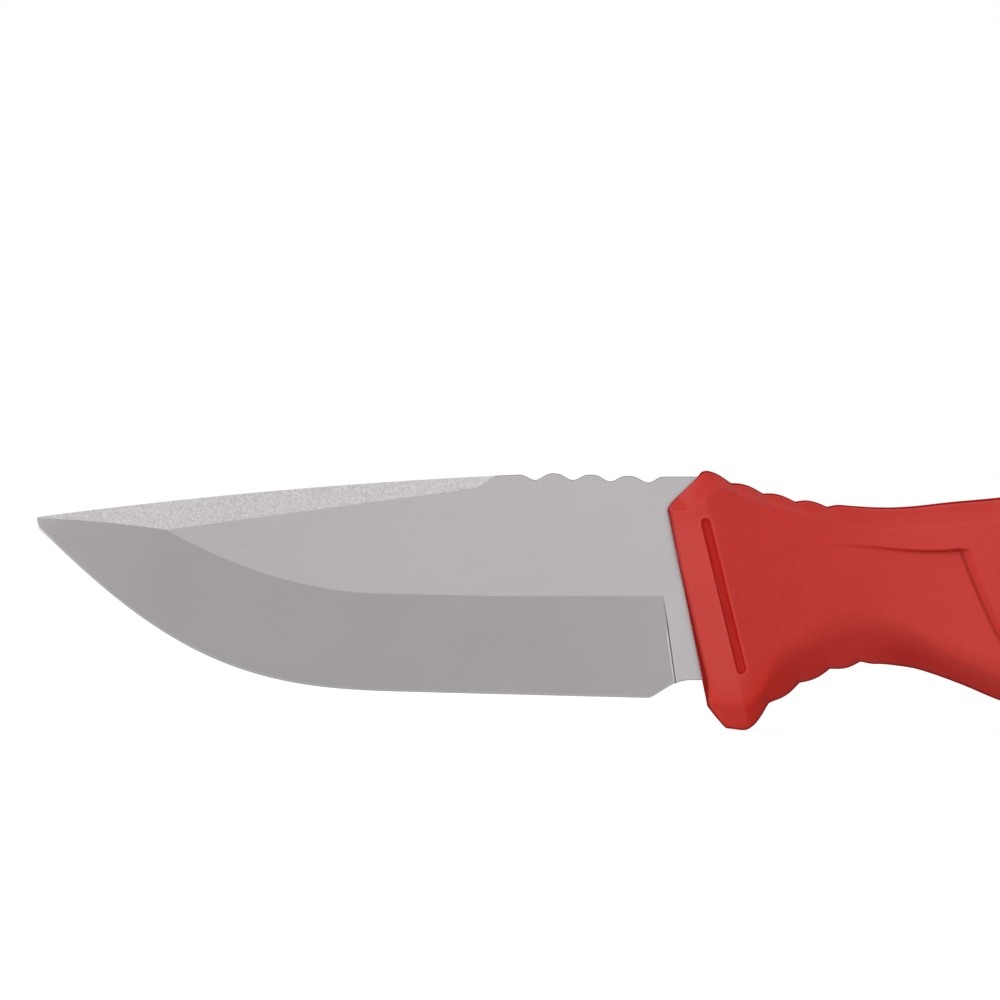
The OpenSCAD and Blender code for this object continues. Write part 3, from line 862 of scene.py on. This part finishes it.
def step_cut(x, z, under):
    """How far the finger area lies below the palm swell at a point of the side view,
    which is the distance under below the step's upper line."""
    ledge = share(under, 0, STEP_LEDGE)
    deep = STEP_DEPTH * share(x, 20, STEP_LEG_X) ** 1.15
    ahead = step_leg_x(z) - x
    wall = STEP_WALL - 0.5 * share(STEP_LEG_TOP - z, 0, 14)
    side = share(ahead, -wall, 0)
    fade = ease(z, -16, -5)
    crease = 0.13 * bell(ahead, 0.22) * share(ledge, 0.5, 1)
    crease = crease + 0.06 * bell(under - STEP_LEDGE, 0.2) * side * share(x, 22, 34)
    below_fold = np.maximum(0, 3.3 - 0.54 * (x - 27.75) - z) * ease(x, 24, 32) * side
    return (deep * side * ledge + crease) * fade + 0.05 * below_fold


def grip_lines(s):
    """The lines that the grip's half sections are drawn from, at the stations s."""
    lean = curve(LEAN_KEYS, s)
    top = at_stations(s, lean, plain_top, 15.0)
    low = at_stations(s, lean, plain_bottom, -15.0)
    panel_top = at_stations(s, lean, lambda x: faceted(x, PANEL_TOP_FACET, PANEL_TOP_KEYS), 12.0)
    panel_low = at_stations(s, lean, lambda x: faceted(x, PANEL_LOW_FACET, PANEL_LOW_KEYS), -12.0)
    step_top = at_stations(s, lean, lambda x: curve(STEP_LINE, x), 6.0)
    panel_top = np.minimum(panel_top, top - 0.05)
    panel_low = np.maximum(panel_low, low + 0.05)
    step_top = np.minimum(step_top, panel_top - 1.5)
    top_x = s - lean * top
    low_x = s - lean * low
    into_butt = np.maximum(0, s - (HANDLE_END - BUTT_ROUND))
    butt_inset = BUTT_ROUND - np.sqrt(np.maximum(0, BUTT_ROUND ** 2 - into_butt ** 2))
    front_inset = np.interp(s + FRONT_LEAD, *np.array(FRONT_EDGE).T)
    at_butt = share(butt_inset, 0, BUTT_ROUND)
    shrink = 1 - 0.5 * at_butt
    upright = butt_inset + 0.08 * front_inset
    top_band = (top - panel_top) * shrink
    low_band = (panel_low - low) * shrink
    top = top - upright
    low = low + upright
    panel_top = top - top_band
    panel_low = low + low_band
    return SimpleNamespace(
        s=s, lean=lean, top=top, low=low, top_x=top_x, low_x=low_x,
        top_band=top_band, low_band=low_band, panel_top=panel_top, panel_low=panel_low,
        step_top=np.clip(step_top, panel_low + 2, panel_top - 1),
        width=curve(WIDTH_KEYS, s) - butt_inset - front_inset, shrink=shrink, at_butt=at_butt,
    )


def grip_half_sections(g):
    """y and z of the right half of each section, from its foot to its top."""
    step_low = g.step_top - STEP_LEDGE
    side = step_low - g.panel_low
    least, most, end = SLOT_FOOT_PARTS
    foot_low = g.panel_low + np.clip(LOW_CLEARANCE, least * side, most * side)
    foot_high = g.panel_low + end * side
    top_in = TOP_LEAN_IN * g.shrink * share(g.top_band, 0, 2.0)
    low_in = LOW_LEAN_IN + LOW_LEAN_WAIST * ease(g.low_x, 9, 18)
    low_in = (low_in + LOW_LEAN_PALM * ease(g.low_x, 40, 54)) * g.shrink
    low_in = low_in * share(g.low_band, 0, 2.0)
    middle = 0 * g.s
    places = [
        (middle, g.low), (g.width - low_in, g.low), (g.width, g.panel_low),
        (g.width, foot_low), (g.width, foot_high), (g.width, step_low), (g.width, g.step_top),
        (g.width, g.panel_top), (g.width - top_in, g.top), (middle, g.top),
    ]
    soft_low = np.minimum((0.9 + 1.5 * ease(g.low_x, 9.5, 18)) * g.shrink, 0.4 * g.low_band)
    soft_low = np.minimum(soft_low, 0.9 * (foot_low - g.panel_low))
    soft_top = np.minimum((0.35 + 1.3 * ease(g.top_x, 18, 40)) * g.shrink, 0.35 * g.top_band)
    sharp = np.full_like(g.s, 0.05)
    half = rounded_path(
        [np.stack(place, 1) for place in places],
        [soft_low, soft_low, sharp, sharp, sharp, sharp, soft_top, soft_top],
        [6, 7, 9, 9, 7, 1, 13, 1, 27, 1, 7, 1, 26, 7, 8, 7, 6],
    )
    return half[..., 0], half[..., 1]


def grip_relief(g, y, z):
    """The half sections' points with the crown, the notches, the slot and the palm step."""
    s, width = g.s[:, None], g.width[:, None]
    top, low = g.top[:, None], g.low[:, None]
    middle, reach = (top + low) / 2, (top - low) / 2
    tall = ((z - middle) / reach) ** 2
    outward = y / np.maximum(0.1, width)
    # The guard's upper facets stay flat.
    rounded = 1 - (1 - ease(s, 5.0, 7.5)) * (z > middle)
    round_over = ROUND_OVER * outward ** 2 * rounded
    below_top, above_low = top - z, z - low
    notch_top = GRIP_NOTCH_DEPTH * notch(g.top_x, *TOP_NOTCHES)
    notch_low = GRIP_NOTCH_DEPTH * notch(g.low_x, *LOW_NOTCHES)
    z = z - np.sign(z - middle) * round_over * (1 - g.at_butt)[:, None] * ease(tall, 0.5, 1.0)
    z = z - notch_top[:, None] * bell(below_top, TOP_NOTCH_REACH)
    z = z + notch_low[:, None] * bell(above_low, LOW_NOTCH_REACH)
    lag = FOOT_LAG * share(-z, -4, 14) * (1 - 0.8 * share(-z, 13.5, 17.5))
    x = s - g.lean[:, None] * z + lag * (1 - share(s, 0, 3))
    on_side = ease(outward, 0.55, 0.9)
    under = g.step_top[:, None] - z
    slot_depth, slot_distance = slot_cut(x, z)
    y = y * (1 - CROWN * tall) - (slot_depth + step_cut(x, z, under)) * on_side
    return SimpleNamespace(
        x=x, y=y, z=z, above_low=above_low, on_side=on_side, under=under,
        slot_distance=slot_distance,
    )


# How much painted shade, painted light or dullness the elastomer has in each place.
FRONT_PAINTED_SHADE = 0.3
SLOT_PAINTED_SHADE = 0.1
STEP_PAINTED_SHADE = 0.42
UNDERSIDE_PAINTED_SHADE = 0.3
LIP_PAINTED_HIGHLIGHT = 0.55
STRIP_PAINTED_SHEEN = 0.35
PALM_PAINTED_LIGHT = 0.35
SLOT_DULL = 0.75
UNDERSIDE_DULL = 0.6


def grip_finish(g, p):
    """The elastomer's four attributes at the points p."""
    s = g.s[:, None]
    panel_low, panel_top = g.panel_low[:, None], g.panel_top[:, None]
    # Textured on the side panel behind the slot, and smooth elsewhere.
    grain = ease(p.z, panel_low - 1.5, panel_low + 1.0)
    grain = grain * (1 - ease(p.z, panel_top - 0.5, panel_top + 0.3))
    grain = grain * ease(s, SLOT_STATION + 0.7, SLOT_STATION + 1.5)
    # Painted shade, where shade falls: darker in the slot, along the palm step's foot and on the
    # guard's front edge, which the blade shades.
    in_slot = ease(SLOT_HALF_WIDTH - p.slot_distance, 0.05, 0.3)
    ahead = step_leg_x(p.z) - p.x
    leg = bell(ahead, 0.24) * ease(p.under, 0.2, 0.6) * ease(p.z, -15, -4)
    ledge = bell(p.under - 0.3, 0.22) * ease(p.x, 24, 36) * ease(ahead + 0.3, 0, 0.4)
    painted_shade = (SLOT_PAINTED_SHADE * in_slot + STEP_PAINTED_SHADE * np.maximum(leg, 0.6 * ledge)) * p.on_side
    painted_shade = np.maximum(painted_shade, FRONT_PAINTED_SHADE * (1 - ease(s + FRONT_LEAD, 0.1, 0.5)))
    # The underside has painted shade from the waist back, and is duller there and on the guard's
    # foot.
    underside = 1 - ease(p.above_low, 2, 8.5)
    held = ease(p.x, 24, 34) * (1 - ease(p.x, 60, 90))
    painted_shade = np.maximum(painted_shade, UNDERSIDE_PAINTED_SHADE * underside * held)
    dull = UNDERSIDE_DULL * underside * np.maximum(held, 1 - ease(p.x, 12, 17))
    # Painted light: a painted highlight on the slot's lip, painted sheen on the smooth strip ahead
    # of it, and painted light on the palm swell.
    strip = (1 - ease(s, SLOT_STATION - 1.2, SLOT_STATION - 0.7)) * (1 - ease(p.z, 8.5, 12))
    palm = ease(p.x, 14, 42) * (1 - 0.5 * ease(p.x, 60, 90))
    painted_light = np.maximum(LIP_PAINTED_HIGHLIGHT * on_lip(p.slot_distance), STRIP_PAINTED_SHEEN * strip)
    painted_light = np.maximum(painted_light, PALM_PAINTED_LIGHT * palm) * p.on_side
    recess = np.maximum(SLOT_DULL * in_slot * p.on_side, dull)
    return {"grain": grain, "painted_shade": painted_shade, "painted_light": painted_light, "recess": recess}


def make_grip():
    """The grip's outer skin, before it is hollowed."""
    lines = grip_lines(grip_stations())
    half = grip_relief(lines, *grip_half_sections(lines))
    right = np.stack([half.x, half.y, half.z], -1)
    left = right[:, -2:0:-1] * np.array([1, -1, 1])
    points, faces = skin(np.concatenate([right, left], axis=1))
    piece = mesh_piece("soft_grip", points, faces, [red])
    for name, values in grip_finish(lines, half).items():
        both_sides = np.concatenate([values, values[:, -2:0:-1]], axis=1).ravel()
        layer = piece.data.attributes.new(name, "FLOAT", "POINT")
        layer.data.foreach_set("value", both_sides.astype(np.float32))
    return piece


CORE_HALF_WIDTH = 5.5
CORE_COVER = 4.2
EYE = (104.0, -2.4)
EYE_RADIUS = 3.0
SLEEVE_RADIUS = 3.7
FLANGE_RADIUS = 5.4
FLANGE_HEIGHT = 0.8
EYE_SEAT = 9.0
# The core stops this far short of the butt, and its outline has a point every so often.
CORE_END_GAP = 7.0
CORE_STEP = 3.0


def behind_plane(outline, depth):
    """The part of an (x, z) outline behind a plane parallel to the guard's face."""
    def off(p):
        return p[0] + p[1] * GUARD_LEAN - depth

    kept = []
    for a, b in zip(outline, outline[1:] + outline[:1]):
        if off(a) >= 0:
            kept.append(a)
        if off(a) * off(b) < 0:
            t = off(a) / (off(a) - off(b))
            kept.append((a[0] + t * (b[0] - a[0]), a[1] + t * (b[1] - a[1])))
    return kept


def core_outline():
    """The core's outline, which keeps a cover inside the handle's."""
    last = HANDLE_END - CORE_END_GAP
    tops = np.arange(1.0, last + 0.01, CORE_STEP)
    lows = np.arange(last, 7.99, -CORE_STEP)
    top_line = [(-8, 17.9), (3.15, 17.9)] + TOP_KEYS[3:]
    low_line = [(-8, -20.6), (6.5, -20.7)] + BOTTOM_KEYS[1:]
    outline = [(x, float(curve(low_line, x)) + CORE_COVER) for x in lows[::-1]]
    outline += [(x, float(curve(top_line, x)) - CORE_COVER) for x in tops[::-1]]
    return behind_plane([(float(x), z) for x, z in outline], SHOULDER_DEPTH)


# The gap round the blade where it enters the guard, and how deep the gap goes.
ROOT_GAP = 0.12
ROOT_GAP_DEPTH = 0.7
# Cutters for the blade's root start this far in front of the guard.
ROOT_AHEAD_X = -12.0


def blade_root_outline(depth, gap):
    """The blade's root, with a gap round it, from ahead of the guard to a depth in it."""
    low, high = RICASSO_BOTTOM - gap, SPINE_HEIGHT + gap

    def plane_x(z):
        return depth - z * GUARD_LEAN + 0.01

    return [
        (ROOT_AHEAD_X, low), (plane_x(low), low), (plane_x(high), high), (ROOT_AHEAD_X, high)
    ]


def hollow_grip(piece):
    """Cuts the space for the core, the blade's root and the lanyard eye."""
    cut(piece, side_prism("core", core_outline(), -CORE_HALF_WIDTH, CORE_HALF_WIDTH))
    cut(piece, side_prism("root", blade_root_outline(SHOULDER_DEPTH, 0), -HALF_STEEL, HALF_STEEL))
    wide = HALF_STEEL + ROOT_GAP
    cut(piece, side_prism("gap", blade_root_outline(ROOT_GAP_DEPTH, ROOT_GAP), -wide, wide))
    cut(piece, side_prism("bore", disc_outline(EYE, SLEEVE_RADIUS, 96), -20, 20))
    for low, high in ((-20, -EYE_SEAT), (EYE_SEAT, 20)):
        cut(piece, side_prism("seat", disc_outline(EYE, FLANGE_RADIUS + 0.05, 96), low, high))
    piece.data.polygons.foreach_set("use_smooth", np.ones(len(piece.data.polygons), bool))
    piece.data.set_sharp_from_angle(angle=math.radians(38))


grip = make_grip()
hollow_grip(grip)
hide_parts("grip")
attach(grip, BODY)


# ------------------------------------------------ lanyard eye

def rolled(centre, radius, start, stop, steps):
    """Points of an arc in a profile, from angle start to angle stop in degrees."""
    turns = [math.radians(a) for a in np.linspace(start, stop, steps)]
    return [(centre[0] + radius * math.cos(a), centre[1] + radius * math.sin(a)) for a in turns]


def make_eye():
    face = EYE_SEAT + FLANGE_HEIGHT
    flange = rolled((EYE_RADIUS + 0.55, -face + 0.45), 0.5, 180, 268, 10)
    flange += rolled((FLANGE_RADIUS - 0.3, -face + 0.3), 0.3, 272, 360, 8)
    sleeve = [(EYE_RADIUS, face - 0.1)] + flange
    sleeve += [(FLANGE_RADIUS, -EYE_SEAT), (SLEEVE_RADIUS, -EYE_SEAT)]
    sleeve += [(SLEEVE_RADIUS, face), (SLEEVE_RADIUS + 0.6, face)]
    sleeve += rolled((SLEEVE_RADIUS + 0.55, face + 0.12), 0.2, 0, 90, 6)
    sleeve += rolled((EYE_RADIUS + 0.5, face - 0.15), 0.5, 90, 180, 8)
    sleeve_piece = turned("eye_sleeve", sleeve, EYE, [eye_steel])
    washer = [(SLEEVE_RADIUS, face), (SLEEVE_RADIUS, EYE_SEAT), (FLANGE_RADIUS, EYE_SEAT)]
    washer += rolled((FLANGE_RADIUS - 0.3, face - 0.3), 0.3, 0, 90, 8)
    washer_piece = turned("eye_washer", washer, EYE, [eye_steel])
    for piece, node in ((sleeve_piece, "lanyard_sleeve"), (washer_piece, "lanyard_washer")):
        piece.data.set_sharp_from_angle(angle=math.radians(35))
        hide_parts(node)
        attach(piece, BODY)


make_eye()


# ------------------------------------------------ CAD nodes that stay

def paint(node, material):
    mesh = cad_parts[node].data
    mesh.materials.clear()
    mesh.materials.append(material)


for node in ("core_left", "core_right"):
    paint(node, nylon)
for node in ("front_rivet", "middle_rivet", "rear_rivet"):
    paint(node, rivet_steel)


# ------------------------------------------------ stage, light and camera

def make_floor():
    """A white floor to the camera, with the knife's soft shadow. As light it is left out,
    so that the sky below the horizon gives the dark underside."""
    low = cad_bounds[0].z
    size = 8.0
    mesh = bpy.data.meshes.new("floor")
    mesh.from_pydata(
        [(-size, -size, low), (size, -size, low), (size, size, low), (-size, size, low)],
        [], [[0, 1, 2, 3]],
    )
    m = Nodes("floor")
    m.set(Base_Color=(0.24, 0.24, 0.24, 1), Roughness=1.0, Specular_IOR_Level=0.0)
    path = m.add("ShaderNodeLightPath")
    glow = m.add("ShaderNodeEmission")
    glow.inputs["Color"].default_value = (1, 1, 1, 1)
    glow.inputs["Strength"].default_value = 0.92
    lit = m.add("ShaderNodeAddShader")
    clear = m.add("ShaderNodeBsdfTransparent")
    choose = m.add("ShaderNodeMixShader")
    m.link(m.shader.outputs[0], lit.inputs[0])
    m.link(glow.outputs[0], lit.inputs[1])
    m.link(path.outputs["Is Camera Ray"], choose.inputs["Fac"])
    m.link(clear.outputs[0], choose.inputs[1])
    m.link(lit.outputs[0], choose.inputs[2])
    m.link(choose.outputs[0], m.tree.nodes["Material Output"].inputs["Surface"])
    mesh.materials.append(m.material)
    floor = bpy.data.objects.new("floor", mesh)
    bpy.context.scene.collection.objects.link(floor)


# Brightness of the studio in reflections, by the height z of the direction.
GLOSS_STOPS = [
    (-1.0, 0.12), (-0.5, 0.30), (-0.20, 0.60), (0.0, 0.77), (0.20, 1.05), (0.44, 1.50),
    (0.68, 0.60), (1.0, 0.15),
]
GLOSS_TOP = 1.5
# Light on the matt surfaces: everywhere, from both sides, from above and from the right.
SOFT_LEVEL = 0.62
SOFT_SIDES = 0.14
SOFT_ABOVE = 0.15
SOFT_RIGHT = -0.22


def make_world():
    """A soft studio. The camera sees white, reflections see a bright band in front and
    above, and matt surfaces are lit softly from all round."""
    world = bpy.data.worlds.new("studio")
    bpy.context.scene.world = world
    world.use_nodes = True
    world.cycles.sampling_method = "NONE"
    tree = world.node_tree
    tree.nodes.clear()

    def math_node(operation, a, b=0.0):
        node = tree.nodes.new("ShaderNodeMath")
        node.operation = operation
        connect(tree, a, node.inputs[0])
        connect(tree, b, node.inputs[1])
        return node.outputs["Value"]

    def spread(source, low, high, low_value, high_value, kind="SMOOTHSTEP"):
        node = tree.nodes.new("ShaderNodeMapRange")
        node.interpolation_type = kind
        for key, value in zip(
            ("From Min", "From Max", "To Min", "To Max"), (low, high, low_value, high_value)
        ):
            node.inputs[key].default_value = value
        tree.links.new(source, node.inputs["Value"])
        return node.outputs["Result"]

    def sky(strength):
        node = tree.nodes.new("ShaderNodeBackground")
        node.inputs["Color"].default_value = (1, 1, 1, 1)
        connect(tree, strength, node.inputs["Strength"])
        return node.outputs[0]

    def choose(factor, first, second):
        node = tree.nodes.new("ShaderNodeMixShader")
        tree.links.new(factor, node.inputs["Fac"])
        tree.links.new(first, node.inputs[1])
        tree.links.new(second, node.inputs[2])
        return node.outputs[0]

    place = tree.nodes.new("ShaderNodeTexCoord")
    split = tree.nodes.new("ShaderNodeSeparateXYZ")
    tree.links.new(place.outputs["Generated"], split.inputs[0])
    x, y, z = (split.outputs[axis] for axis in "XYZ")
    ramp = tree.nodes.new("ShaderNodeValToRGB")
    ramp.color_ramp.interpolation = "EASE"
    for i, (height, level) in enumerate(GLOSS_STOPS):
        position = (height + 1) / 2
        element = ramp.color_ramp.elements[i] if i < 2 else ramp.color_ramp.elements.new(position)
        element.position = position
        element.color = [level / GLOSS_TOP] * 3 + [1]
    tree.links.new(spread(z, -1, 1, 0, 1, "LINEAR"), ramp.inputs["Fac"])
    sideways = math_node("ABSOLUTE", y)
    # Reflections are dim between the knife's sides and from the right, bright from the left.
    between = spread(sideways, 0.2, 0.7, 0.7, 0)
    from_left = spread(x, -0.7, -0.25, 1.35, 1.0)
    gloss = math_node("MULTIPLY", ramp.outputs["Color"], GLOSS_TOP)
    gloss = math_node("MULTIPLY", gloss, math_node("SUBTRACT", 1.0, between))
    gloss = math_node("MULTIPLY", gloss, from_left)
    gloss = math_node("MULTIPLY", gloss, spread(x, 0.1, 0.5, 1.0, 0.4))
    soft = math_node("MULTIPLY", math_node("MULTIPLY", y, y), SOFT_SIDES)
    soft = math_node("ADD", soft, SOFT_LEVEL)
    soft = math_node("ADD", soft, math_node("MULTIPLY", z, SOFT_ABOVE))
    soft = math_node("ADD", soft, math_node("MULTIPLY", x, SOFT_RIGHT))
    path = tree.nodes.new("ShaderNodeLightPath")
    light = choose(path.outputs["Is Diffuse Ray"], sky(gloss), sky(soft))
    light = choose(path.outputs["Is Camera Ray"], light, sky(1.0))
    output = tree.nodes.new("ShaderNodeOutputWorld")
    tree.links.new(light, output.inputs["Surface"])


# Metres: the camera's distance, the width that it sees there, and the middle of its view.
CAMERA_DISTANCE = 1.6
CAMERA_SPAN = 0.150
CAMERA_X = -0.02775
CAMERA_Z = 0.0135


def make_camera():
    """Square to the knife's left side, with the butt out of the picture on the right."""
    data = bpy.data.cameras.new("camera")
    camera = bpy.data.objects.new("camera", data)
    bpy.context.scene.collection.objects.link(camera)
    bpy.context.scene.camera = camera
    data.sensor_width = 36
    data.lens = data.sensor_width * CAMERA_DISTANCE / CAMERA_SPAN
    data.clip_start = 0.05
    data.clip_end = 20
    camera.location = (CAMERA_X, -CAMERA_DISTANCE, CAMERA_Z)
    camera.rotation_euler = (math.pi / 2, 0, 0)


make_floor()
make_world()
make_camera()
bpy.context.scene.view_settings.view_transform = "Standard"
